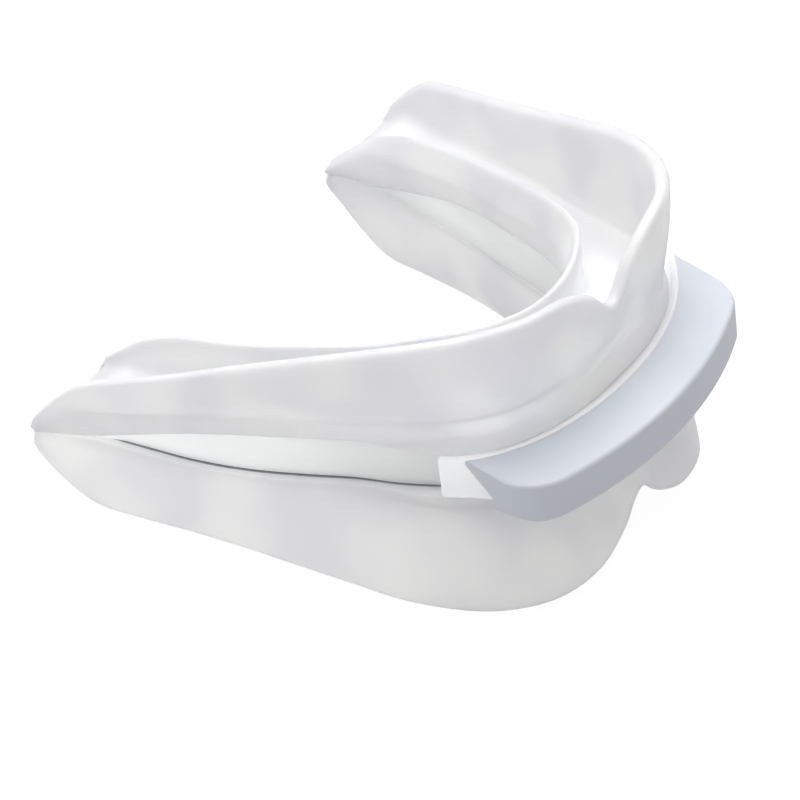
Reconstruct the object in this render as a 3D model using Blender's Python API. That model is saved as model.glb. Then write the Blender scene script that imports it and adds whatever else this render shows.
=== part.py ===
"""Double-arch mouthguard with a front lip bumper.

Two clear channel trays, one for each row of teeth, stand back to back on a
wedge-shaped bite web. A clear neck leaves the front between them and carries
an opaque bumper for the lips. The left and right halves mirror each other.

Design frame, in millimetres: X across the mouth, -Y towards the lips, Z up,
with Z = 0 on the bite plane and Y = 0 at the rear tips. At the end everything
is pitched into the pose in which the guard lies on a table.
"""

import math

import bmesh
import bpy
from mathutils import Matrix, Vector

MM = 0.001

# ---------------------------------------------------------------- dimensions

# One row for each section of the arch, from the rear tip to the mid-plane:
# outer rim x, y | tongue-side rim x, y | outer wall height from the bite
# plane, upper and lower tray | the same for the tongue-side wall | how far
# the foot of the outer wall sits inside its rim | half height of the side
# groove | width of the shoulder that runs down from the wall to the neck.
ARCH = (
    (30.3, -0.1, 17.6, -0.1, 0.9, 0.9, 0.9, 1.0, 0.4, 0.00, 0.0),
    (29.9, -2.6, 17.9, -2.6, 4.2, 4.8, 3.8, 5.9, 0.9, 0.00, 0.0),
    (29.3, -6.0, 17.8, -6.2, 6.7, 7.3, 6.2, 8.8, 1.4, 0.15, 0.0),
    (28.3, -10.0, 17.5, -10.6, 7.8, 8.2, 7.2, 9.4, 1.5, 0.90, 0.0),
    (26.8, -15.0, 16.8, -15.6, 9.0, 9.2, 7.7, 9.6, 1.4, 1.80, 0.0),
    (25.1, -20.2, 15.7, -20.2, 10.4, 10.6, 8.2, 9.7, 1.3, 2.30, 0.0),
    (23.6, -25.4, 14.2, -24.8, 11.8, 12.0, 8.7, 9.8, 1.7, 2.45, 0.0),
    (22.2, -30.2, 12.7, -29.4, 13.1, 13.3, 9.3, 10.1, 2.2, 2.50, 0.0),
    (20.7, -35.2, 10.7, -33.2, 14.4, 14.6, 10.0, 10.4, 2.1, 2.50, 0.3),
    (18.4, -40.2, 8.6, -36.2, 15.3, 15.5, 10.4, 10.6, 1.9, 2.45, 0.8),
    (15.8, -43.6, 6.6, -37.7, 15.7, 15.7, 10.4, 10.4, 1.9, 2.45, 0.7),
    (12.0, -46.4, 4.6, -38.5, 15.8, 15.6, 10.2, 10.2, 2.0, 2.45, 0.6),
    (7.4, -47.6, 2.8, -38.9, 15.4, 15.1, 10.0, 10.0, 2.0, 2.45, 0.8),
    (3.5, -47.8, 1.4, -39.0, 13.5, 13.3, 9.9, 9.9, 2.0, 2.45, 1.0),
    (1.4, -47.8, 0.6, -39.0, 11.4, 11.3, 9.8, 9.8, 2.0, 2.45, 1.0),
    (0.0, -47.8, 0.0, -39.0, 10.7, 10.6, 9.8, 9.8, 2.0, 2.45, 1.0),
)
LOWER_REACH = 1.0            # the lower front rim stands this much further forward
REACH_FROM = -38.0           # starting here along the arch
REACH_FULL = -46.0           # and complete here
STEPS = 2                    # rings between one row and the next

RIM_OUTER = 1.5              # thickness of the outer wall at its rim
RIM_TONGUE = 1.3             # thickness of the tongue-side wall at its rim
DRAFT = 0.15                 # extra thickness of each wall at the floor
TONGUE_DRAFT = 0.4           # the tongue-side face leans in by this much
FLOOR_REAR = 2.0             # biting surface above the bite plane at y = 0
FLOOR_SLOPE = 0.075          # and its rise for each millimetre forward
SHOULDER_RISE = 2.0          # the widest shoulder meets the wall this far up

GAP = 0.30                   # assembly gap between neighbouring pieces

WEB_FIRST = 3                # the web starts at this row of ARCH
WEB_RECESS = 1.6             # and lies this far inside the foot of the wall
WEB_INSET = 1.1              # and inside the tongue-side wall

NECK_HALF = 18.1             # half width of the neck and of the bumper
NECK_TOP = 2.35              # the neck fills the front of the groove
NECK_REAR = -38.9            # rear end of the neck's flat side faces
NECK_BEAD = 0.45             # bead along the bumper, above the neck
NOSE_TOP = 0.15              # top of the neck's upright front, under the slope
KEY_DEPTH = 0.8              # key that holds the bumper on the neck
KEY_HALF = 0.4
KEY_MID = -1.1

BUMPER_FRONT = -53.4         # lip face on the mid-plane
BUMPER_RADIUS = 42.0         # of the lip face, in plan
BUMPER_DEPTH = 5.0           # from the bead to the lip face
BUMPER_WALL = 1.8            # thickness of its front face
BUMPER_TOP_REAR = 2.60
BUMPER_TOP_FRONT = 1.70
BUMPER_BOTTOM = -2.50
BUMPER_CORNER = 2.6          # plan radius of its front corners
BUMPER_EDGE = 0.35           # radius of its long edges

REST_PITCH = math.radians(-11.3)   # rear tips down, front lobes on the table
REST_SHIFT = Vector((0.0, 26.354, 7.4665))

CLEAR = (0.86, 0.88, 0.90, 1.0)
GREY = (0.56, 0.61, 0.68, 1.0)


# ------------------------------------------------------------------- helpers

def clear_scene():
    for ob in list(bpy.data.objects):
        bpy.data.objects.remove(ob, do_unlink=True)


def collection(name):
    col = bpy.data.collections.new(name)
    bpy.context.scene.collection.children.link(col)
    return col


def material(name, colour, roughness, transmission=0.0):
    mat = bpy.data.materials.new(name)
    mat.use_nodes = True
    bsdf = mat.node_tree.nodes["Principled BSDF"]
    bsdf.inputs["Base Color"].default_value = colour
    bsdf.inputs["Roughness"].default_value = roughness
    bsdf.inputs["Metallic"].default_value = 0.0
    bsdf.inputs["Transmission Weight"].default_value = transmission
    return mat


def lerp(a, b, t):
    return a + (b - a) * t


def catmull(p0, p1, p2, p3, t):
    """Catmull-Rom value between p1 and p2."""
    return 0.5 * (2.0 * p1 + (p2 - p0) * t
                  + (2.0 * p0 - 5.0 * p1 + 4.0 * p2 - p3) * t * t
                  + (3.0 * p1 - p0 - 3.0 * p2 + p3) * t ** 3)


def arch_rows(first=0):
    """ARCH with smooth rows in between, both halves, left to right."""
    half = []
    last = len(ARCH) - 1
    for i in range(first, last):
        p1 = ARCH[i]
        p2 = ARCH[i + 1]
        p0 = ARCH[i - 1] if i else tuple(2 * a - b for a, b in zip(p1, p2))
        if i + 2 <= last:
            p3 = ARCH[i + 2]
        else:
            p3 = mirrored(ARCH[last - 1])
        for k in range(STEPS):
            t = k / STEPS
            row = tuple(catmull(*v, t) for v in zip(p0, p1, p2, p3))
            half.append(row)
    left = [mirrored(r) for r in half]
    return left + [ARCH[last]] + half[::-1]


def mirrored(row):
    return (-row[0], row[1], -row[2]) + tuple(row[3:])


def skin(name, rings, mat, col):
    """Closed solid through equal rings, with a flat cap on each end."""
    bm = bmesh.new()
    layers = [[bm.verts.new(p) for p in ring] for ring in rings]
    count = len(layers[0])
    for a, b in zip(layers, layers[1:]):
        for i in range(count):
            j = (i + 1) % count
            bm.faces.new((a[i], a[j], b[j], b[i]))
    bm.faces.new(layers[0][::-1])
    bm.faces.new(layers[-1])
    bmesh.ops.recalc_face_normals(bm, faces=bm.faces)
    mesh = bpy.data.meshes.new(name)
    bm.to_mesh(mesh)
    bm.free()
    mesh.materials.append(mat)
    ob = bpy.data.objects.new(name, mesh)
    col.objects.link(ob)
    return ob


def settle(ob):
    """Scale to metres and lay the guard on the table, baked in the mesh."""
    pose = Matrix.Translation(REST_SHIFT) @ Matrix.Rotation(REST_PITCH, 4, "X")
    ob.data.transform(Matrix.Scale(MM, 4) @ pose)
    ob.data.update()


# --------------------------------------------------------------------- trays

def floor_z(y):
    """Height of the flat biting surface of a tray."""
    return FLOOR_REAR - FLOOR_SLOPE * y


def tray_ring(row, lower):
    """Channel section of one tray on one row of the arch."""
    ox, oy, lx, ly, high_up, high_low, tongue_up, tongue_low = row[:8]
    inset, groove, shoulder = row[8:]
    high = high_low if lower else high_up
    if lower:
        reach = min(max((REACH_FROM - oy) / (REACH_FROM - REACH_FULL), 0.0), 1.0)
        reach = LOWER_REACH * reach * reach * (3.0 - 2.0 * reach)
        oy -= reach
        inset += reach
    outer = Vector((ox, oy))
    inner = Vector((lx, ly))
    width = (inner - outer).length
    foot = groove + GAP / 2
    floor = floor_z((oy + ly) / 2)
    tall = max(high, floor + 1.7)
    squash = (high - foot) / (tall - foot)
    tongue = max(tongue_low if lower else tongue_up, floor + 1.6)

    def at(u, z):
        p = outer.lerp(inner, u / width)
        if z is None:
            z = floor_z(p.y)
        z = foot + (z - foot) * squash
        return Vector((p.x, p.y, -z if lower else z))

    a = RIM_OUTER
    b = width - RIM_TONGUE
    root = a + inset * 0.35 + DRAFT
    foot_in = width - TONGUE_DRAFT
    crease = foot + 0.12 + SHOULDER_RISE * shoulder
    return [
        at(inset - shoulder, foot),
        at(inset - shoulder * 0.35, lerp(foot, crease, 0.55)),
        at(inset * 0.85, crease),
        at(inset * 0.45, lerp(crease, high, 0.36)),
        at(inset * 0.12, lerp(crease, high, 0.68)),
        at(0.00, tall - 0.95),
        at(0.16, tall - 0.36),
        at(0.60, tall),
        at(a - 0.45, tall - 0.04),
        at(a - 0.10, tall - 0.42),
        at(a, tall - 0.95),
        at(lerp(a, root, 0.6), lerp(floor, tall, 0.42)),
        at(root, floor + 0.62),
        at(root + 0.35, None),
        at(b - DRAFT - 0.35, None),
        at(b - DRAFT, floor + 0.60),
        at(b, tongue - 0.85),
        at(b + 0.12, tongue - 0.34),
        at(b + 0.45, tongue),
        at(width - 0.45, tongue),
        at(width - 0.10, tongue - 0.38),
        at(width, tongue - 0.90),
        at(lerp(width, foot_in, 0.7), lerp(foot, tongue, 0.35)),
        at(foot_in - 0.25, foot + 0.35),
        at(foot_in - 0.65, foot),
    ]


def make_tray(name, lower, mat, col):
    rings = [tray_ring(row, lower) for row in arch_rows()]
    return skin(name, rings, mat, col)


# ----------------------------------------------------------------------- web

def web_ring(row):
    """Solid bar between the two floors, recessed behind the side groove."""
    ox, oy, lx, ly = row[:4]
    inset, groove = row[8:10]
    outer = Vector((ox, oy))
    inner = Vector((lx, ly))
    width = (inner - outer).length
    half = groove - GAP / 2
    u0 = inset + WEB_RECESS
    u1 = width - WEB_INSET
    ring = []
    for u, z in ((u0 + 0.35, half), (u0, half * 0.55), (u0, -half * 0.55),
                 (u0 + 0.35, -half), (u1 - 0.35, -half), (u1, -half * 0.5),
                 (u1, half * 0.5), (u1 - 0.35, half)):
        p = outer.lerp(inner, u / width)
        ring.append(Vector((p.x, p.y, z)))
    return ring


def make_web(mat, col):
    rings = [web_ring(row) for row in arch_rows(WEB_FIRST)]
    return skin("bite_web", rings, mat, col)


# ----------------------------------------------------------- neck and bumper

def arc_y(x, offset=0.0):
    """Plan line parallel to the lip face, OFFSET behind it."""
    r = BUMPER_RADIUS - offset
    centre = BUMPER_FRONT + BUMPER_RADIUS
    return centre - math.sqrt(r * r - x * x)


def web_front_y(x):
    """Front face of the web in plan, on the front of the arch."""
    rows = arch_rows(WEB_FIRST)
    pts = []
    for row in rows:
        outer = Vector((row[0], row[1]))
        inner = Vector((row[2], row[3]))
        p = outer + (inner - outer).normalized() * (row[8] + WEB_RECESS)
        pts.append(p)
    for p, q in zip(pts, pts[1:]):
        if p.x <= x <= q.x:
            return lerp(p.y, q.y, (x - p.x) / (q.x - p.x))
    return NECK_REAR


def spread(half, count):
    """Even stations from -half to half."""
    return [lerp(-half, half, i / (count - 1)) for i in range(count)]


def make_neck(mat, col):
    """Clear block from the web forward, with a bead, under the bumper's lip."""
    rings = []
    key_half = NECK_HALF - 1.6
    for x in spread(NECK_HALF, 25):
        seam = arc_y(x, BUMPER_DEPTH)
        nose = arc_y(x, BUMPER_WALL + GAP)
        rear = min(web_front_y(x) - GAP, NECK_REAR)
        depth = KEY_DEPTH if abs(x) < key_half else 0.05
        top = NECK_TOP
        bead = top + NECK_BEAD
        ring = [(rear, top), (rear, -top), (nose + 0.25, -top), (nose, -top + 0.25),
                (nose, KEY_MID - KEY_HALF), (nose - depth, KEY_MID - KEY_HALF),
                (nose - depth, KEY_MID + KEY_HALF), (nose, KEY_MID + KEY_HALF),
                (nose, NOSE_TOP), (seam, top - 0.05),
                (seam, bead - 0.22), (seam + 0.25, bead),
                (seam + 0.55, bead - 0.08), (seam + 0.85, top)]
        rings.append([Vector((x, y, z)) for y, z in ring])
    return skin("front_neck", rings, mat, col)


def make_bumper(mat, col):
    """Curved lip guard: a lip over the neck's sloping front, and a thick face."""
    rings = []
    half = NECK_HALF
    slot_half = NECK_HALF - 1.6 + GAP
    corner = BUMPER_CORNER
    stations = [-half + corner * (1 - math.cos(math.radians(a))) for a in (0, 25, 50, 72, 90)]
    inner = spread(half - corner - 1.6, 19)
    stations = stations + inner + [-s for s in stations[::-1]]
    for x in stations:
        rear = arc_y(x, BUMPER_DEPTH - GAP)
        back = arc_y(x, BUMPER_WALL)
        front = arc_y(x)
        into = half - abs(x)
        if into < corner:
            front += corner - math.sqrt(corner ** 2 - (corner - into) ** 2)
        front = min(front, back - 0.5)
        depth = KEY_DEPTH + 0.05 if abs(x) < slot_half else 0.05
        e = BUMPER_EDGE
        g = KEY_HALF + GAP
        top_r = BUMPER_TOP_REAR
        top_f = BUMPER_TOP_FRONT
        low = BUMPER_BOTTOM
        ring = [(back, KEY_MID + g), (back - depth, KEY_MID + g),
                (back - depth, KEY_MID - g), (back, KEY_MID - g),
                (back, low + e), (back - e * 0.7, low), (front + e, low),
                (front, low + e), (front, top_f - e), (front + e, top_f),
                (rear - e, top_r), (rear, top_r - e * 0.6), (rear, NECK_TOP),
                (back, NOSE_TOP + GAP * 0.4)]
        rings.append([Vector((x, y, z)) for y, z in ring])
    return skin("lip_bumper", rings, mat, col)


# ---------------------------------------------------------------------- main

def main():
    clear_scene()
    col = collection("double_mouthguard")
    upper_mat = material("upper_tray_clear", CLEAR, 0.30, 0.85)
    lower_mat = material("lower_tray_clear", CLEAR, 0.30, 0.85)
    web_mat = material("bite_web_clear", CLEAR, 0.35, 0.80)
    neck_mat = material("front_neck_clear", CLEAR, 0.25, 0.85)
    bumper_mat = material("lip_bumper_grey", GREY, 0.42)
    parts = [
        make_tray("upper_tray", False, upper_mat, col),
        make_tray("lower_tray", True, lower_mat, col),
        make_web(web_mat, col),
        make_neck(neck_mat, col),
        make_bumper(bumper_mat, col),
    ]
    for ob in parts:
        settle(ob)


main()
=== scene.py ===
# %% [markdown]
# # A double mouthguard with a lip bumper
#
# This guard holds both rows of teeth at once. Two clear channels stand back
# to back on a bite wedge, and an opaque grey bumper sits in front of the
# lips. Everything clear is one soft, slightly milky elastomer, so most of
# the work is in the walls: their height, their lean, their rounded rims.
#
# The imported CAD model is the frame. It fixes the size, the place and the
# pose, and each piece here stands for one CAD solid.

import math

import bmesh
import bpy
from mathutils import Matrix, Vector


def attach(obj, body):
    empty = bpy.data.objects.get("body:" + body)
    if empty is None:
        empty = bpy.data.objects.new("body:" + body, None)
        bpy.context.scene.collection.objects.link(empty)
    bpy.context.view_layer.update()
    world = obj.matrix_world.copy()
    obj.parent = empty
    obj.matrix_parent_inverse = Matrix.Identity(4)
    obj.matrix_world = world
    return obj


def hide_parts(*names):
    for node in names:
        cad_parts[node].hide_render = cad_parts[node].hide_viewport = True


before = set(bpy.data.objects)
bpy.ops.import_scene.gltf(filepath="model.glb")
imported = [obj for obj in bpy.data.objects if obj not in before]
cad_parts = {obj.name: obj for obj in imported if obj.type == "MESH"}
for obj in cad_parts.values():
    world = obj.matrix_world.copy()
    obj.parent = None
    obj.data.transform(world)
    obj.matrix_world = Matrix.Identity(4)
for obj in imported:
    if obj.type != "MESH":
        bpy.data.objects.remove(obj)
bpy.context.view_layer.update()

# %% [markdown]
# ## Working in the guard's own directions
#
# On the table the guard lies pitched, with its front lobes and its rear on
# the surface. That makes awkward numbers, so every piece is shaped in the
# mouth's own directions: X across, -Y to the lips, Z up from the bite
# plane, in millimetres. `rest` turns such a point into its place on the
# table, in metres.

# %% From mouth millimetres to table metres
REST_PITCH = math.radians(-11.3)
REST_SHIFT = Vector((0.0, 26.354, 7.4665))
LAY_DOWN = (Matrix.Scale(0.001, 4) @ Matrix.Translation(REST_SHIFT)
            @ Matrix.Rotation(REST_PITCH, 4, "X"))


def rest(point):
    """A point in the mouth's directions, placed on the table."""
    return LAY_DOWN @ Vector(point)


print("rear tip lies at", [round(v * 1000, 2) for v in rest((30.3, 0.0, 0.0))], "mm")

# %% [markdown]
# ## The arch as a table of sections
#
# A boat builder keeps a table of offsets: a few sections along the hull,
# and fair curves between them. The arch is drawn the same way. Each row is
# one cut through a channel, from the rear tip to the middle of the front,
# and the rows between are found with a smooth curve. The left half mirrors
# the right.

# %% Offsets of the arch
# outer rim x, y | tongue-side rim x, y | outer wall height, upper and lower |
# tongue-side wall height, upper and lower | inset of the outer wall's foot |
# half height of the side groove | width of the shoulder at the foot
ARCH = (
    (30.3, -0.1, 17.6, -0.1, 1.3, 1.3, 1.3, 1.5, 0.4, 0.00, 0.0),
    (29.9, -2.6, 17.9, -2.6, 4.0, 4.7, 3.2, 5.7, 0.9, 0.00, 0.0),
    (29.3, -6.0, 17.8, -6.2, 6.7, 7.3, 5.7, 8.8, 1.4, 0.15, 0.0),
    (28.3, -10.0, 17.5, -10.6, 7.8, 8.2, 7.2, 9.4, 1.5, 0.90, 0.0),
    (26.8, -15.0, 16.8, -15.6, 9.0, 9.2, 7.7, 9.6, 1.4, 1.80, 0.0),
    (25.1, -20.2, 15.7, -20.2, 10.4, 10.6, 8.2, 9.7, 1.3, 2.30, 0.0),
    (23.6, -25.4, 14.2, -24.8, 11.8, 12.0, 8.7, 9.8, 1.7, 2.45, 0.0),
    (22.2, -30.2, 12.7, -29.4, 13.1, 13.3, 9.3, 10.1, 2.2, 2.50, 0.0),
    (20.7, -35.2, 10.7, -33.2, 14.4, 14.6, 10.0, 10.4, 2.1, 2.50, 0.3),
    (18.4, -40.2, 8.6, -36.2, 15.3, 15.5, 10.4, 10.6, 1.9, 2.45, 0.8),
    (15.8, -43.6, 6.6, -37.7, 15.7, 15.7, 10.4, 10.4, 1.9, 2.45, 0.7),
    (12.0, -46.4, 4.6, -38.5, 15.8, 15.6, 10.2, 10.2, 2.0, 2.45, 0.6),
    (7.4, -47.6, 2.8, -38.9, 15.4, 15.1, 10.0, 10.0, 2.0, 2.45, 0.8),
    (3.5, -47.8, 1.4, -39.0, 13.5, 13.3, 9.9, 9.9, 2.0, 2.45, 1.0),
    (1.4, -47.8, 0.6, -39.0, 11.4, 11.3, 9.8, 9.8, 2.0, 2.45, 1.0),
    (0.0, -47.8, 0.0, -39.0, 10.7, 10.6, 9.8, 9.8, 2.0, 2.45, 1.0),
)
STEPS = 4


def lerp(a, b, t):
    return a + (b - a) * t


def fair(p0, p1, p2, p3, t):
    """A smooth value between p1 and p2 that also heeds their neighbours."""
    return 0.5 * (2.0 * p1 + (p2 - p0) * t
                  + (2.0 * p0 - 5.0 * p1 + 4.0 * p2 - p3) * t * t
                  + (3.0 * p1 - p0 - 3.0 * p2 + p3) * t ** 3)


def other_side(row):
    return (-row[0], row[1], -row[2]) + tuple(row[3:])


def fair_rows(first=0):
    """All sections from the left rear tip round to the right one."""
    last = len(ARCH) - 1
    half = []
    for i in range(first, last):
        near = ARCH[i]
        far = ARCH[i + 1]
        before = ARCH[i - 1] if i else tuple(2 * a - b for a, b in zip(near, far))
        after = ARCH[i + 2] if i + 2 <= last else other_side(ARCH[last - 1])
        for k in range(STEPS):
            half.append(tuple(fair(*v, k / STEPS)
                              for v in zip(before, near, far, after)))
    return [other_side(r) for r in half] + [ARCH[last]] + half[::-1]


print(len(ARCH), "drawn sections become", len(fair_rows()), "fair ones")

# %% [markdown]
# ## Rounding a section
#
# A section is easiest to think of as straight lines between corners, each
# corner with its own softness. `soften` swaps each corner for a short
# curve. A corner is never softened past the middle of its shorter side, so
# thin walls keep their thickness and just get a round top.

# %% Soft corners
NEAR_MIDDLE = 0.48


def soften(corners, points=5):
    """(a, b, radius) corners of a closed outline as one list of points."""
    outline = []
    count = len(corners)
    for i, (a, b, radius) in enumerate(corners):
        here = Vector((a, b))
        back = Vector(corners[i - 1][:2]) - here
        ahead = Vector(corners[(i + 1) % count][:2]) - here
        start = here + back.normalized() * min(radius, back.length * NEAR_MIDDLE)
        end = here + ahead.normalized() * min(radius, ahead.length * NEAR_MIDDLE)
        for k in range(points):
            t = k / (points - 1)
            outline.append(start * (1 - t) ** 2 + here * 2 * t * (1 - t) + end * t * t)
    return outline


square = soften([(0, 0, 0.3), (1, 0, 0.3), (1, 1, 0.3), (0, 1, 0.3)])
print("a square with soft corners has", len(square), "points")

# %% [markdown]
# ## Drawing a piece out along the arch
#
# Each piece here is a long section drawn out along a curve, the way clay is
# pulled. The first section starts as a circle primitive whose points are
# moved onto the outline. It is then extruded once for each further section,
# and each new ring is moved into place while it is still selected. The two
# open ends are closed with faces.

# %% Extrude a section along the arch
CREASE_ANGLE = math.radians(40)


def only(ob):
    """Select this object alone and make it active."""
    bpy.ops.object.select_all(action="DESELECT")
    ob.select_set(True)
    bpy.context.view_layer.objects.active = ob


def draw_out(name, rings):
    """A closed piece through rings of points, extruded from one to the next."""
    bpy.ops.object.select_all(action="DESELECT")
    bpy.ops.mesh.primitive_circle_add(vertices=len(rings[0]), radius=0.01,
                                      fill_type="NOTHING")
    ob = bpy.context.active_object
    ob.name = name
    ob.data.name = name
    bpy.ops.object.mode_set(mode="EDIT")
    bpy.ops.mesh.select_mode(type="EDGE")
    bm = bmesh.from_edit_mesh(ob.data)
    bm.verts.ensure_lookup_table()
    ring = list(bm.verts)
    for vert, point in zip(ring, rings[0]):
        vert.co = point
    number = {vert.index: i for i, vert in enumerate(ring)}
    bpy.ops.mesh.select_all(action="SELECT")
    for points in rings[1:]:
        bpy.ops.mesh.extrude_edges_move()
        bm = bmesh.from_edit_mesh(ob.data)
        bm.verts.index_update()
        fresh = {}
        for vert in bm.verts:
            if not vert.select:
                continue
            for edge in vert.link_edges:
                old = edge.other_vert(vert)
                if not old.select:
                    fresh[vert.index] = number[old.index]
                    vert.co = points[fresh[vert.index]]
        number = fresh
        bmesh.update_edit_mesh(ob.data)
    bpy.ops.mesh.select_all(action="SELECT")
    bpy.ops.mesh.fill_holes(sides=0)
    bpy.ops.mesh.select_all(action="SELECT")
    bpy.ops.mesh.normals_make_consistent(inside=False)
    bpy.ops.object.mode_set(mode="OBJECT")
    only(ob)
    bpy.ops.object.location_clear()
    bpy.ops.object.shade_smooth_by_angle(angle=CREASE_ANGLE)
    print(name, "has", len(ob.data.polygons), "faces from", len(rings), "sections")
    return ob


# %% [markdown]
# ## The two channel trays
#
# Upper and lower tray are the same idea: an outer wall that leans out to a
# rounded rim, a flat floor that the teeth bite on, and a shorter wall on the
# tongue's side with a broad soft shoulder. The lower one is that section
# turned over, with a rim that reaches a little further forward. Towards the
# rear both walls run down, but the channel stays open to its very end.
#
# The foot of the outer wall is a sharp edge over the side groove. At the
# front it grows a shoulder that runs out onto the neck.

# %% Section of a tray
RIM_OUTER = 1.5
RIM_TONGUE = 1.3
DRAFT = 0.15
TONGUE_DRAFT = 0.4
SHOULDER_RISE = 1.5
TOE_REACH = 1.55
SEAM = 0.04
FLOOR_REAR = 2.0
FLOOR_SLOPE = 0.075
FLOOR_DIP = 1.65
DIP_LENGTH = 4.5
LOWER_REACH_START = -38.0
LOWER_REACH_LENGTH = 8.0
# how far each kind of corner is rounded
WALL_SOFT = 1.4
RIM_SOFT = 0.72
ROOT_SOFT = 1.3
TONGUE_SOFT = 0.6
# how far the last rings stand in from the rear end, how much they shrink in
# height, and how much in width, so that the tip is rounded off
TIP = ((0.00, 0.30, 0.10), (0.05, 0.60, 0.05), (0.16, 0.82, 0.02), (0.34, 0.95, 0.0))


def ease(t):
    """Goes smoothly from 0 to 1 as t does."""
    t = min(max(t, 0.0), 1.0)
    return t * t * (3.0 - 2.0 * t)


def floor_z(y):
    """Height of the biting surface above the bite plane."""
    return FLOOR_REAR - FLOOR_SLOPE * y - FLOOR_DIP * (1.0 - ease(-y / DIP_LENGTH))


def tray_outline(row, lower, tip=(0.0, 1.0, 0.0)):
    """Points of one tray section, or of one of the rings that round a tip."""
    stand_in, flat, narrow = tip
    ox, oy, lx, ly, high_up, high_low, tongue_up, tongue_low = row[:8]
    inset, groove, shoulder = row[8:]
    high = high_low if lower else high_up
    tongue = tongue_low if lower else tongue_up
    if lower:
        reach = ease((LOWER_REACH_START - oy) / LOWER_REACH_LENGTH)
        oy -= reach
        inset += reach
    outer = Vector((ox, oy))
    inner = Vector((lx, ly))
    width = (inner - outer).length
    foot = groove + SEAM / 2
    bite = floor_z((oy + ly) / 2)
    rim = RIM_OUTER
    ledge = width - RIM_TONGUE
    root = rim + inset * 0.35 + DRAFT
    shoulder *= TOE_REACH
    crease = foot + 0.12 + SHOULDER_RISE * shoulder
    back = width - TONGUE_DRAFT
    tilt = floor_z(outer.lerp(inner, root / width).y) - bite
    full = ease((tongue - bite) / 3.0)
    drop = min(3.0, (tongue - bite) * 0.55)
    corners = [
        (inset - shoulder, foot, 0.16),
        (inset * 0.85, crease, 0.9),
        (inset * 0.45, lerp(crease, high, 0.36), WALL_SOFT),
        (inset * 0.12, lerp(crease, high, 0.68), WALL_SOFT),
        (0.0, high, RIM_SOFT),
        (rim, high, RIM_SOFT),
        (root, bite + tilt, ROOT_SOFT),
        (ledge - DRAFT, bite - tilt, ROOT_SOFT),
        (ledge - 0.35 * full, tongue, TONGUE_SOFT),
        (ledge + 0.35, tongue - 0.15, TONGUE_SOFT),
        (width, tongue - drop, 1.6),
        (lerp(width, back, 0.7), lerp(foot, tongue, 0.3), 1.2),
        (back - 0.2, foot, 0.15),
        (inset + 1.9, foot, 0.05),
        (inset + 0.6, foot, 0.05),
    ]
    outline = []
    for u, z in soften(corners, 6):
        p = outer.lerp(inner, lerp(u / width, 0.5, narrow))
        p.y -= stand_in
        z *= flat
        outline.append(rest((p.x, p.y, -z if lower else z)))
    return outline


def tray(name, lower):
    rows = fair_rows()
    tail = [tray_outline(rows[0], lower, tip) for tip in TIP]
    rings = tail + [tray_outline(row, lower) for row in rows[1:-1]]
    tail = [tray_outline(rows[-1], lower, tip) for tip in TIP]
    return draw_out(name, rings + tail[::-1])


# %% Upper and lower tray
upper = tray("clear_upper_tray", lower=False)
lower = tray("clear_lower_tray", lower=True)
for ob, node in ((upper, "upper_tray"), (lower, "lower_tray")):
    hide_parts(node)
    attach(ob, "root")

# %% [markdown]
# ## The bite wedge
#
# Between the two floors lies a solid bar that cushions the bite. It starts
# from nothing behind the last tooth and thickens forward. It is almost
# flush with the feet of the walls. Only a thin slit is left under it, above
# the lower wall's edge. The slit looks dark partly through its depth and
# partly through painted shade on the faces that look into it. In front
# the wedge runs on into the neck, where both are solid and it doesn't show.

# %% Bite wedge
WEB_FIRST = 2
WEB_RECESS = 1.6
WEB_INSET = 0.62
SLIT = 0.26
SLIT_DEPTH = 1.2


def web_outline(row):
    outer = Vector(row[0:2])
    inner = Vector(row[2:4])
    width = (inner - outer).length
    inset, groove = row[8:10]
    half = max(groove, 0.04) - 0.01
    lean = min(0.35, half * 0.5)
    slit = min(SLIT, half * 0.5)
    u0 = inset + 0.15
    u1 = width - WEB_INSET
    corners = [(u0, half, 0.15), (u0 + lean * 0.35, 0.0, 0.8),
               (u0 + lean, slit - half, 0.2), (u0 + lean + SLIT_DEPTH, slit - half, 0.1),
               (u0 + lean + SLIT_DEPTH + 0.1, -half, 0.1),
               (u1, -half, 0.1), (u1 + 0.1, 0.0, 0.6), (u1, half, 0.1)]
    outline = []
    for u, z in soften(corners, 5):
        p = outer.lerp(inner, u / width)
        outline.append(rest((p.x, p.y, z)))
    return outline


web = draw_out("clear_bite_wedge", [web_outline(r) for r in fair_rows(WEB_FIRST)])
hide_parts("bite_web")
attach(web, "root")

# %% [markdown]
# ## The neck
#
# A clear block comes forward between the trays and ends in a slope that the
# bumper is moulded over. It has two flat side faces, a flat top that shows
# as a ledge in front of the wall, and a fine bead where the bumper starts.

# %% Neck
NECK_HALF = 18.1
NECK_TOP = 2.35
NECK_REAR = -38.9
NOSE_TOP = 0.15
BUMPER_FRONT = -53.4
BUMPER_RADIUS = 42.0
BUMPER_DEPTH = 5.0
BUMPER_WALL = 1.8
SEAM_SWEEP = 1.6
NOSE_SWEEP = 2.5
END_LIFT = 0.45
NOSE_DROP = 0.4
CHIN_RISE = 1.9


def arc_y(x, offset=0.0):
    """A line in plan that runs parallel to the lip face."""
    r = BUMPER_RADIUS - offset
    return BUMPER_FRONT + BUMPER_RADIUS - math.sqrt(r * r - x * x)


web_front = []
for row in fair_rows(WEB_FIRST):
    wall = Vector(row[0:2])
    across = (Vector(row[2:4]) - wall).normalized()
    web_front.append(wall + across * (row[8] + WEB_RECESS))


def web_front_y(x):
    for p, q in zip(web_front, web_front[1:]):
        if p.x <= x <= q.x:
            return lerp(p.y, q.y, (x - p.x) / (q.x - p.x))
    return NECK_REAR


def spread(half, count):
    return [lerp(-half, half, i / (count - 1)) for i in range(count)]


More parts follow.
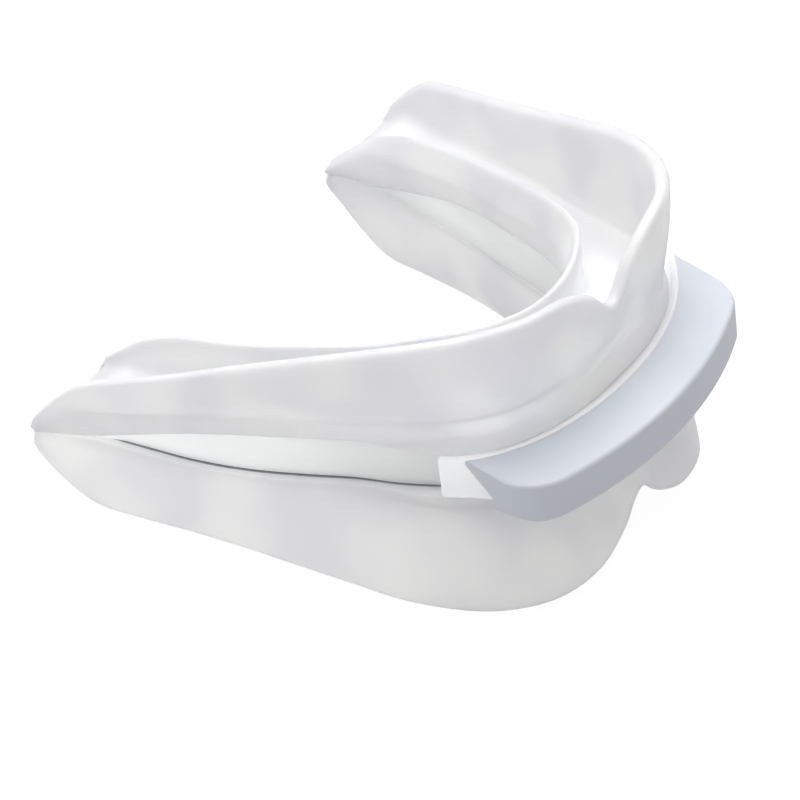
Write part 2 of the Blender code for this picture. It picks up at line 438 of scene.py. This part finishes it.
def out(x, power):
    """0 in the middle of the neck, 1 at its two side faces."""
    return min(abs(x) / NECK_HALF, 1.0) ** power


def seam_y(x):
    """Where the grey starts. Its two ends sweep back a little."""
    return arc_y(x, BUMPER_DEPTH) + SEAM_SWEEP * out(x, 4)


def nose_y(x):
    """The front of the clear neck, inside the bumper."""
    return arc_y(x, BUMPER_WALL) + NOSE_SWEEP * out(x, 4)


def neck_outline(x, pull=0.0):
    """One cut across the neck. Pull rounds its two side faces."""
    seam = seam_y(x)
    nose = nose_y(x) + 0.06
    rear = min(web_front_y(x) - 0.05, NECK_REAR) - pull
    top = NECK_TOP - pull
    lift = END_LIFT * out(x, 6)
    corners = [(rear, top - 0.1, 0.3), (rear, -NECK_TOP + pull, 0.3),
               (nose + pull, -NECK_TOP + CHIN_RISE * out(x, 6) + pull, 0.4),
               (nose + pull, NOSE_TOP - pull - NOSE_DROP * out(x, 6), 0.3),
               (seam, top + lift - 0.10, 0.1), (seam + 1.0, top + lift * 0.7, 0.8)]
    return [rest((x, y, z)) for y, z in soften(corners, 5)]


FACE_SOFT = 0.16
INNER_SOFT = 0.05
neck_rings = [neck_outline(-NECK_HALF, FACE_SOFT), neck_outline(INNER_SOFT - NECK_HALF, INNER_SOFT)]
neck_rings += [neck_outline(x) for x in spread(NECK_HALF - FACE_SOFT, 61)]
neck_rings += [neck_outline(NECK_HALF - INNER_SOFT, INNER_SOFT), neck_outline(NECK_HALF, FACE_SOFT)]
neck = draw_out("clear_front_neck", neck_rings)
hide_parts("front_neck")
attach(neck, "root")

# %% [markdown]
# The bead is a fine ridge of clear stock that squeezed up against the grey
# when it was moulded on. It is drawn out along the seam as its own piece,
# because it looks far brighter than the flat ledge behind it: partly from
# the light its ridge catches, partly from painted glow in its finish.

# %% Seam bead
BEAD_RISE = 0.30
BEAD_END = 0.6


def bead_outline(x, thin=1.0):
    seam = seam_y(x)
    top = NECK_TOP + END_LIFT * out(x, 6)
    crest = top + BEAD_RISE * thin
    corners = [(seam - 0.08, top - 0.2, 0.1), (seam - 0.08, crest, 0.25),
               (seam + 0.40, crest, 0.3), (seam + 1.00, top - 0.04, 0.4),
               (seam + 0.5, top - 0.25, 0.2)]
    return [rest((x, y, z)) for y, z in soften(corners, 5)]


bead_rings = [bead_outline(-NECK_HALF + 0.02, BEAD_END)]
bead_rings += [bead_outline(x) for x in spread(NECK_HALF - 0.12, 73)]
bead_rings += [bead_outline(NECK_HALF - 0.02, BEAD_END)]
bead = draw_out("clear_seam_bead", bead_rings)
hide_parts("front_neck")
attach(bead, "root")

# %% [markdown]
# ## The lip bumper
#
# The only opaque piece. In plan it is a shallow arc with rounded front
# corners. Its top slopes down to a blunt face, its back follows the slope of
# the neck, and all its long edges are soft, because it rests on the lips.

# %% Lip bumper
CORNER = 3.2
END_ROUND = 1.35
BUMPER_LOW = -2.5
BUMPER_EDGE = 1.70
BUMPER_TOP = 2.62
THINNEST = 0.9


def quarter(radius, into):
    """How far a rounded corner has fallen back, that far in from its end."""
    if into >= radius:
        return 0.0
    return radius - math.sqrt(max(radius ** 2 - (radius - into) ** 2, 0.0))


def bumper_outline(x, pull=0.0):
    """One cut across the bumper at that distance from the middle."""
    rear = seam_y(x)
    back = nose_y(x)
    lift = END_LIFT * out(x, 6)
    into = NECK_HALF - abs(x)
    front = min(arc_y(x) + quarter(CORNER, into), back - THINNEST)
    low = min(BUMPER_LOW + quarter(END_ROUND, into), NOSE_TOP - THINNEST)
    corners = [(back, low + pull, 0.30), (front + pull, low + pull, 0.50),
               (front + pull, BUMPER_EDGE - pull, 0.45), (rear, BUMPER_TOP + lift - pull, 0.20),
               (rear, BUMPER_TOP - 0.30 + lift - pull, 0.1),
               (back, NOSE_TOP + 0.06 - NOSE_DROP * out(x, 6) - pull, 0.2)]
    return [rest((x, y, z)) for y, z in soften(corners, 7)]


turns = [NECK_HALF - CORNER * (1 - math.cos(math.radians(a)))
         for a in (8, 16, 24, 32, 40, 48, 56, 64, 72, 81, 90)]
side = [(NECK_HALF, 0.22), (NECK_HALF - 0.02, 0.10)] + [(t, 0.0) for t in turns]
bumper_rings = [bumper_outline(-x, pull) for x, pull in side]
bumper_rings += [bumper_outline(x) for x in spread(turns[-1] - 0.5, 57)]
bumper_rings += [bumper_outline(x, pull) for x, pull in side[::-1]]
bumper = draw_out("grey_lip_bumper", bumper_rings)
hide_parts("lip_bumper")
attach(bumper, "root")

# %% [markdown]
# ## Milk in the clear
#
# The clear pieces are one elastomer. It is not glass: a fine haze inside it
# scatters light, so thin rims stay bright and thick roots go grey. Two
# faint effects are shared by all clear pieces and live in one node group: a
# slow cloudiness from the way the melt flowed, and a skin so slightly uneven
# that reflections waver. The group only hands out a colour, a roughness and
# a normal. The shader itself stays in each material.

# %% Shared group: haze and skin


def socket(group, name, kind, way="INPUT", value=None):
    """Gives a group one named input or output."""
    made = group.interface.new_socket(name=name, in_out=way, socket_type=kind)
    if value is not None:
        made.default_value = value


haze = bpy.data.node_groups.new("elastomer_haze_and_skin", "ShaderNodeTree")
socket(haze, "Clear", "NodeSocketColor", value=(0.9, 0.9, 0.9, 1.0))
socket(haze, "Milk", "NodeSocketColor", value=(0.8, 0.8, 0.8, 1.0))
socket(haze, "Cloud Scale", "NodeSocketFloat", value=120.0)
socket(haze, "Smoothest", "NodeSocketFloat", value=0.2)
socket(haze, "Roughest", "NodeSocketFloat", value=0.3)
socket(haze, "Skin Scale", "NodeSocketFloat", value=260.0)
socket(haze, "Skin Depth", "NodeSocketFloat", value=0.25)
socket(haze, "Color", "NodeSocketColor", "OUTPUT")
socket(haze, "Roughness", "NodeSocketFloat", "OUTPUT")
socket(haze, "Normal", "NodeSocketVector", "OUTPUT")


def add(tree, kind, x, y, **settings):
    node = tree.nodes.new(kind)
    node.location = (x, y)
    for key, value in settings.items():
        setattr(node, key, value)
    return node


def dial(node, values):
    """Sets a node's own inputs, by name or by number."""
    for name, value in values.items():
        node.inputs[name].default_value = value


def wire(tree, *pairs):
    """Joins an output to an input: (node, output, node, input) each time."""
    for source, output, target, entry in pairs:
        tree.links.new(source.outputs[output], target.inputs[entry])


haze_in = add(haze, "NodeGroupInput", -900, 0)
haze_out = add(haze, "NodeGroupOutput", 500, 0)
haze_place = add(haze, "ShaderNodeTexCoord", -900, -300)
cloud = add(haze, "ShaderNodeTexNoise", -600, 150)
skin = add(haze, "ShaderNodeTexNoise", -600, -200)
drift = add(haze, "ShaderNodeMapRange", -380, 150, interpolation_type="SMOOTHSTEP")
tint = add(haze, "ShaderNodeMix", -150, 150, data_type="RGBA")
gloss = add(haze, "ShaderNodeMapRange", -150, -50)
bump = add(haze, "ShaderNodeBump", 100, -250)
dial(cloud, {"Detail": 1.0})
dial(skin, {"Detail": 0.0})
dial(drift, {"From Min": 0.30, "From Max": 0.70})
dial(bump, {"Distance": 0.0001})
wire(haze,
     (haze_place, "Object", cloud, "Vector"),
     (haze_place, "Object", skin, "Vector"),
     (haze_in, "Cloud Scale", cloud, "Scale"),
     (haze_in, "Skin Scale", skin, "Scale"),
     (cloud, "Fac", drift, "Value"),
     (drift, "Result", tint, "Factor"),
     (haze_in, "Clear", tint, "A"),
     (haze_in, "Milk", tint, "B"),
     (tint, "Result", haze_out, "Color"),
     (drift, "Result", gloss, "Value"),
     (haze_in, "Smoothest", gloss, "To Min"),
     (haze_in, "Roughest", gloss, "To Max"),
     (gloss, "Result", haze_out, "Roughness"),
     (haze_in, "Skin Depth", bump, "Strength"),
     (skin, "Fac", bump, "Height"),
     (bump, "Normal", haze_out, "Normal"))
print("group", haze.name, "has", len(haze.nodes), "nodes")

# %% [markdown]
# ## Painted glow
#
# The wedge's outer face, the neck's two side faces and the biting floor above
# the neck are painted brighter with emission. This painted light stands in for
# light passing through the milky body. The group below makes such a soft patch
# of painted light. It gives 1 within `Reach` of a point and of its mirror image
# on the other side, and goes over to `Base` at `Fade`. A centre far out to the
# side paints light on the outer faces and leaves the tongue's side dim, a
# painted shade. It colours the material's emission.

# %% Shared group: soft patch of painted light
patch = bpy.data.node_groups.new("painted_light_patch", "ShaderNodeTree")
socket(patch, "Centre", "NodeSocketVector", value=(0.0, 0.0, 0.0))
socket(patch, "Reach", "NodeSocketFloat", value=0.004)
socket(patch, "Fade", "NodeSocketFloat", value=0.007)
socket(patch, "Base", "NodeSocketFloat", value=0.2)
socket(patch, "Color", "NodeSocketColor", "OUTPUT")
patch_in = add(patch, "NodeGroupInput", -900, 0)
patch_out = add(patch, "NodeGroupOutput", 500, 0)
patch_place = add(patch, "ShaderNodeTexCoord", -900, 300)
fold = add(patch, "ShaderNodeVectorMath", -700, 300, operation="ABSOLUTE")
split = add(patch, "ShaderNodeSeparateXYZ", -500, 300)
split_y = add(patch, "ShaderNodeSeparateXYZ", -500, 100)
joined = add(patch, "ShaderNodeCombineXYZ", -300, 300)
apart = add(patch, "ShaderNodeVectorMath", -100, 300, operation="DISTANCE")
near = add(patch, "ShaderNodeMapRange", 100, 100, interpolation_type="SMOOTHSTEP")
dial(near, {"To Min": 1.0})
wire(patch,
     (patch_place, "Object", fold, 0),
     (fold, "Vector", split, "Vector"),
     (patch_place, "Object", split_y, "Vector"),
     (split, "X", joined, "X"),
     (split_y, "Y", joined, "Y"),
     (split_y, "Z", joined, "Z"),
     (joined, "Vector", apart, 0),
     (patch_in, "Centre", apart, 1),
     (apart, "Value", near, "Value"),
     (patch_in, "Reach", near, "From Min"),
     (patch_in, "Fade", near, "From Max"),
     (patch_in, "Base", near, "To Max"),
     (near, "Result", patch_out, "Color"))
print("group", patch.name, "has", len(patch.nodes), "nodes")

# %% [markdown]
# ## The clear finishes
#
# The same stuff looks a little different in each piece. The trays are thin
# walls that pass a lot of light. The wedge and the neck are solid, so they
# get more scattering and less straight-through light. Every clear finish also
# has painted glow, emission that stands in for light, and the wedge and the
# neck get the most of it.

# %% Clear elastomer


def elastomer(name, clear, milk, through, scatter, depth, painted_glow=0.0, painted_glow_centre=None,
              reach=2.0, fade=6.0, base=0.2, smooth=0.32, rough=0.42):
    """A milky clear material. Through is the straight-through share of light.

    With a painted_glow_centre, the painted glow, emission that stands in for
    light, gathers round that point of the mouth's directions.
    """
    mat = bpy.data.materials.new(name)
    mat.use_nodes = True
    nodes = mat.node_tree
    principled = nodes.nodes["Principled BSDF"]
    look = add(nodes, "ShaderNodeGroup", -300, 0, node_tree=haze)
    dial(look, {"Clear": (*clear, 1.0), "Milk": (*milk, 1.0),
                "Smoothest": smooth, "Roughest": rough})
    wire(nodes, (look, "Color", principled, "Base Color"),
         (look, "Roughness", principled, "Roughness"),
         (look, "Normal", principled, "Normal"))
    # painted glow: the clear finish emits a little light that stands in for light passing through
    # it
    dial(principled, {"Emission Color": (1.0, 1.0, 1.0, 1.0), "Emission Strength": painted_glow})
    if painted_glow_centre:
        light = add(nodes, "ShaderNodeGroup", -300, -300, node_tree=patch)
        dial(light, {"Centre": rest(painted_glow_centre), "Reach": reach / 1000,
                     "Fade": fade / 1000, "Base": base})
        wire(nodes, (light, "Color", principled, "Emission Color"))
    dial(principled, {
        "Metallic": 0.0, "Transmission Weight": through, "IOR": 1.45,
        "Coat Weight": 0.15, "Coat Roughness": 0.22,
        "Subsurface Weight": scatter, "Subsurface Radius": (1.0, 1.0, 1.0),
        "Subsurface Scale": depth})
    print("finish", name, "passes", through, "of the light straight through")
    return mat


# painted_glow_centre, reach and fade place each patch of painted light, in the
# mouth's millimetres; depth is in metres. The lower tray's and the wedge's
# patches are centred far out to the side: they paint the outer faces light
# and leave the tongue's side and the front darker.
finishes = {
    upper: elastomer("milky_upper", clear=(0.96, 0.96, 0.95), milk=(0.82, 0.82, 0.865),
                     through=0.50, scatter=0.5, depth=0.004, painted_glow=0.15,
                     painted_glow_centre=(7.5, -38.0, 4.5), reach=2.0, fade=6.5, base=0.20),
    lower: elastomer("milky_lower", clear=(0.98, 0.98, 0.96), milk=(0.82, 0.82, 0.85),
                     through=0.45, scatter=0.5, depth=0.004, painted_glow=0.10,
                     painted_glow_centre=(100.0, -22.0, -3.0), reach=74.0, fade=88.0, base=0.32),
    web: elastomer("milky_wedge", clear=(0.95, 0.96, 0.95), milk=(0.91, 0.92, 0.93),
                   through=0.30, scatter=0.6, depth=0.006, painted_glow=0.22,
                   painted_glow_centre=(100.0, -24.0, 0.0), reach=75.0, fade=85.0, base=0.14),
    neck: elastomer("milky_neck", clear=(0.93, 0.94, 0.96), milk=(0.88, 0.89, 0.92),
                    through=0.35, scatter=0.6, depth=0.006, painted_glow=0.20,
                    painted_glow_centre=(18.1, -41.5, 0.0), reach=2.6, fade=4.8, base=0.20),
    bead: elastomer("milky_bead", clear=(0.95, 0.95, 0.97), milk=(0.93, 0.93, 0.96),
                    through=0.35, scatter=0.6, depth=0.003, painted_glow=0.13),
}
for ob, mat in finishes.items():
    ob.data.materials.clear()
    ob.data.materials.append(mat)

# %% [markdown]
# ## The dark in the slit
#
# Little light finds its way into the slit under the wedge. The faces that
# look into it are picked by the way they point, down on the wedge and up on
# the lower tray, and get a darker, duller copy of the same material: painted
# shade. Wherever else such faces lie against each other, nothing of them shows.

# %% Faces with painted shade
SLIT_LOWEST = -2.75
SLIT_HIGHEST = -0.3
SLIT_NEAR = 1.0
# painted shade: a darker, duller copy of the clear material for the faces in the slit
shaded = elastomer("painted_shade_slit", clear=(0.60, 0.61, 0.63), milk=(0.50, 0.51, 0.53),
                   through=0.0, scatter=0.2, depth=0.002, smooth=0.5, rough=0.6)
UP_FROM_BITE = (Matrix.Rotation(REST_PITCH, 3, "X") @ Vector((0.0, 0.0, 1.0))).normalized()
LIFT_UP = LAY_DOWN.inverted()


def shade_faces(ob, mat, way):
    """Paints shade: gives mat to the faces next to the slit that point that way."""
    ob.data.materials.append(mat)
    found = 0
    for face in ob.data.polygons:
        middle = LIFT_UP @ face.center
        if face.normal.dot(UP_FROM_BITE) * way < 0.9:
            continue
        if not SLIT_LOWEST < middle.z < SLIT_HIGHEST:
            continue
        if min((middle.xy - p).length for p in web_front) < SLIT_NEAR:
            face.material_index = len(ob.data.materials) - 1
            found += 1
    print(ob.name, "has", found, "shaded faces")


shade_faces(web, shaded, -1)
shade_faces(lower, shaded, 1)

# %% [markdown]
# ## Moulded grey
#
# The bumper is a firmer, filled grade of the same elastomer, light blue
# grey and satin. Its skin has the fine grain that a blasted mould leaves.

# %% Grey bumper finish
grey = bpy.data.materials.new("satin_blue_grey")
grey.use_nodes = True
grey_nodes = grey.node_tree
grey_shader = grey_nodes.nodes["Principled BSDF"]
place = add(grey_nodes, "ShaderNodeTexCoord", -900, 0)
grain = add(grey_nodes, "ShaderNodeTexNoise", -650, -200)
shade = add(grey_nodes, "ShaderNodeTexNoise", -650, 200)
paint = add(grey_nodes, "ShaderNodeMix", -350, 200, data_type="RGBA")
satin = add(grey_nodes, "ShaderNodeMapRange", -350, -50)
relief = add(grey_nodes, "ShaderNodeBump", -350, -300)
dial(grain, {"Scale": 5200.0, "Detail": 2.0})
dial(shade, {"Scale": 220.0, "Detail": 3.0})
dial(paint, {"A": (0.54, 0.57, 0.625, 1.0), "B": (0.58, 0.61, 0.665, 1.0)})
dial(satin, {"To Min": 0.42, "To Max": 0.56})
dial(relief, {"Strength": 0.12, "Distance": 0.00005})
dial(grey_shader, {"IOR": 1.45, "Subsurface Weight": 0.15, "Subsurface Scale": 0.001})
wire(grey_nodes,
     (place, "Object", grain, "Vector"),
     (place, "Object", shade, "Vector"),
     (shade, "Fac", paint, "Factor"),
     (paint, "Result", grey_shader, "Base Color"),
     (grain, "Fac", satin, "Value"),
     (satin, "Result", grey_shader, "Roughness"),
     (grain, "Fac", relief, "Height"),
     (relief, "Normal", grey_shader, "Normal"))
bumper.data.materials.clear()
bumper.data.materials.append(grey)
print("finish", grey.name, "has", len(grey_nodes.nodes), "nodes")

# %% [markdown]
# ## A white table
#
# The floor and the room look pure white to the camera, as on a catalogue
# page, but they send less light than that to the guard itself. A Light Path
# node tells the two apart. Without it the clear pieces would melt into the
# white around them. The room is bright above and behind and dim in front,
# and a soft lamp hangs behind on the right, so the bumper's front is the
# darkest face.

# %% Floor, world and light
FLOOR_GLOW = 0.62
FLOOR_SEEN = 0.93
ROOM_LOW = 0.36
ROOM_HIGH = 1.15
BRIGHT_SIDE = (0.0, 0.6, 0.8)
LAMP_PLACE = (0.15, 0.22, 0.55)
LAMP_SIDE = 0.5
LAMP_WATTS = 3.0

bpy.ops.object.select_all(action="DESELECT")
bpy.ops.mesh.primitive_plane_add(size=6.0, location=(0.0, 0.0, -0.0002))
table = bpy.context.active_object
table.name = "white_table"
table_top = bpy.data.materials.new("pale_table")
table_top.use_nodes = True
table_nodes = table_top.node_tree
table_shader = table_nodes.nodes["Principled BSDF"]
dial(table_shader, {"Base Color": (0.10, 0.10, 0.10, 1.0), "Roughness": 0.9,
                    "Specular IOR Level": 0.0, "Emission Color": (1.0, 1.0, 1.0, 1.0)})
table_seen = add(table_nodes, "ShaderNodeLightPath", -500, -200)
table_glow = add(table_nodes, "ShaderNodeMapRange", -250, -200)
dial(table_glow, {"To Min": FLOOR_GLOW, "To Max": FLOOR_SEEN})
wire(table_nodes, (table_seen, "Is Camera Ray", table_glow, "Value"),
     (table_glow, "Result", table_shader, "Emission Strength"))
table.data.materials.append(table_top)

world = bpy.data.worlds.new("white_room")
world.use_nodes = True
room = world.node_tree
sky = room.nodes["Background"]
direction = add(room, "ShaderNodeTexCoord", -1000, 0)
height = add(room, "ShaderNodeVectorMath", -800, 0, operation="DOT_PRODUCT")
dial(height, {1: BRIGHT_SIDE})
shading = add(room, "ShaderNodeMapRange", -600, 0)
dial(shading, {"From Min": -0.5, "To Min": ROOM_LOW, "To Max": ROOM_HIGH})
room_seen = add(room, "ShaderNodeLightPath", -600, -250)
white = add(room, "ShaderNodeMix", -300, 0, data_type="FLOAT")
dial(white, {"B": 1.0})
wire(room, (direction, "Generated", height, 0),
     (height, "Value", shading, "Value"),
     (room_seen, "Is Camera Ray", white, "Factor"),
     (shading, "Result", white, "A"),
     (white, "Result", sky, "Strength"))
dial(sky, {"Color": (1.0, 1.0, 1.0, 1.0)})
bpy.context.scene.world = world

bpy.ops.object.light_add(type="AREA", location=LAMP_PLACE)
lamp = bpy.context.active_object
lamp.name = "soft_top_light"
lamp.data.shape = "RECTANGLE"
lamp.data.size = LAMP_SIDE
lamp.data.size_y = LAMP_SIDE
lamp.data.energy = LAMP_WATTS
lamp.rotation_euler = (-lamp.location).to_track_quat("-Z", "Y").to_euler()
print("white table, white room and one lamp of", lamp.data.energy, "W")

# %% [markdown]
# ## Camera
#
# A long lens from the guard's left front, looking down at about 43 degrees,
# with a small roll. Its place is given by two angles, a distance and the
# point that it looks at.

# %% Camera
CAMERA_TURN = math.radians(-58.380)
CAMERA_RISE = math.radians(42.986)
CAMERA_ROLL = math.radians(4.314)
CAMERA_FAR = 0.38725
LOOK_AT = Vector((-0.012622, -0.003584, 0.016))
LENS = 187.18

to_camera = Vector((math.sin(CAMERA_TURN) * math.cos(CAMERA_RISE),
                    -math.cos(CAMERA_TURN) * math.cos(CAMERA_RISE),
                    math.sin(CAMERA_RISE)))
sideways = Vector((math.cos(CAMERA_TURN), math.sin(CAMERA_TURN), 0.0))
upright = to_camera.cross(sideways)
right = sideways * math.cos(CAMERA_ROLL) + upright * math.sin(CAMERA_ROLL)
up = upright * math.cos(CAMERA_ROLL) - sideways * math.sin(CAMERA_ROLL)
bpy.ops.object.camera_add()
camera = bpy.context.active_object
camera.data.lens = LENS
camera.data.sensor_width = 36.0
camera.data.clip_start = 0.01
camera.matrix_world = Matrix((
    (right.x, up.x, to_camera.x, 0.0),
    (right.y, up.y, to_camera.y, 0.0),
    (right.z, up.z, to_camera.z, 0.0),
    (0.0, 0.0, 0.0, 1.0)))
camera.location = LOOK_AT + to_camera * CAMERA_FAR
bpy.context.scene.camera = camera
bpy.context.scene.view_settings.view_transform = "Standard"
print("camera is", round(CAMERA_FAR * 1000), "mm away")
